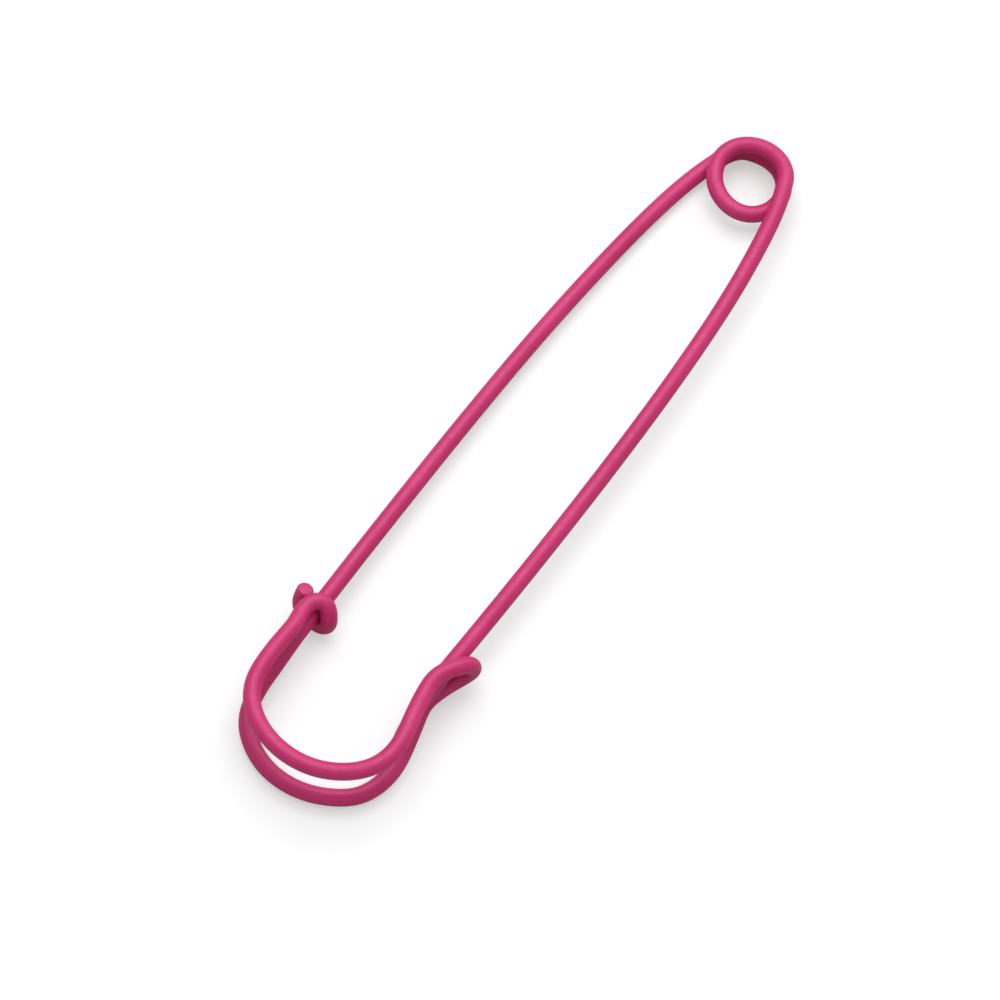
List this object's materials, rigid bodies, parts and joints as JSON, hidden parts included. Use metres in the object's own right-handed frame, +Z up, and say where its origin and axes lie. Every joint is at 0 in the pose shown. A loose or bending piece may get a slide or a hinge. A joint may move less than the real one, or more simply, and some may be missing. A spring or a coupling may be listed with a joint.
{
  "type": "safety pin",
  "caption": "Capless safety pin bent from one length of painted wire, with a round spring coil at one end and a wide bow catch with an open hook at the other.",
  "frame": {"origin": "on the table, under the middle of the closed pin's bounding box", "axes": "+Z up off the table, +Y from the catch to the coil, +X from the back arm to the pin arm"},
  "size_m": [0.0234, 0.1, 0.0078],
  "materials": {
    "painted_wire": "satin raspberry pink paint on steel wire"
  },
  "bodies": {
    "body": {"coil": "painted_wire", "back_arm_rear": "painted_wire", "back_arm_front": "painted_wire", "catch_lower_back_leg": "painted_wire", "catch_lower_bend": "painted_wire", "catch_lower_pin_leg": "painted_wire", "hook_lower_arm": "painted_wire", "hook_bend": "painted_wire", "hook_upper_arm": "painted_wire", "catch_upper_pin_leg": "painted_wire", "catch_upper_bend": "painted_wire", "catch_upper_back_leg": "painted_wire", "binding_turn": "painted_wire", "wire_end": "painted_wire"},
    "pin": {"pin_arm_rear": "painted_wire", "pin_arm_front": "painted_wire", "pin_shank": "painted_wire", "pin_point": "painted_wire"}
  },
  "joints": [
    {"name": "pin_swing", "type": "hinge", "parent": "body", "child": "pin", "pos_m": [0.00002, 0.04475, 0.0042], "axis": [0, 0, -1], "range_deg": [0, 9], "stiffness_Nm_per_rad": 1.4, "springref_deg": -14.32, "deforming": ["coil"]}
  ]
}
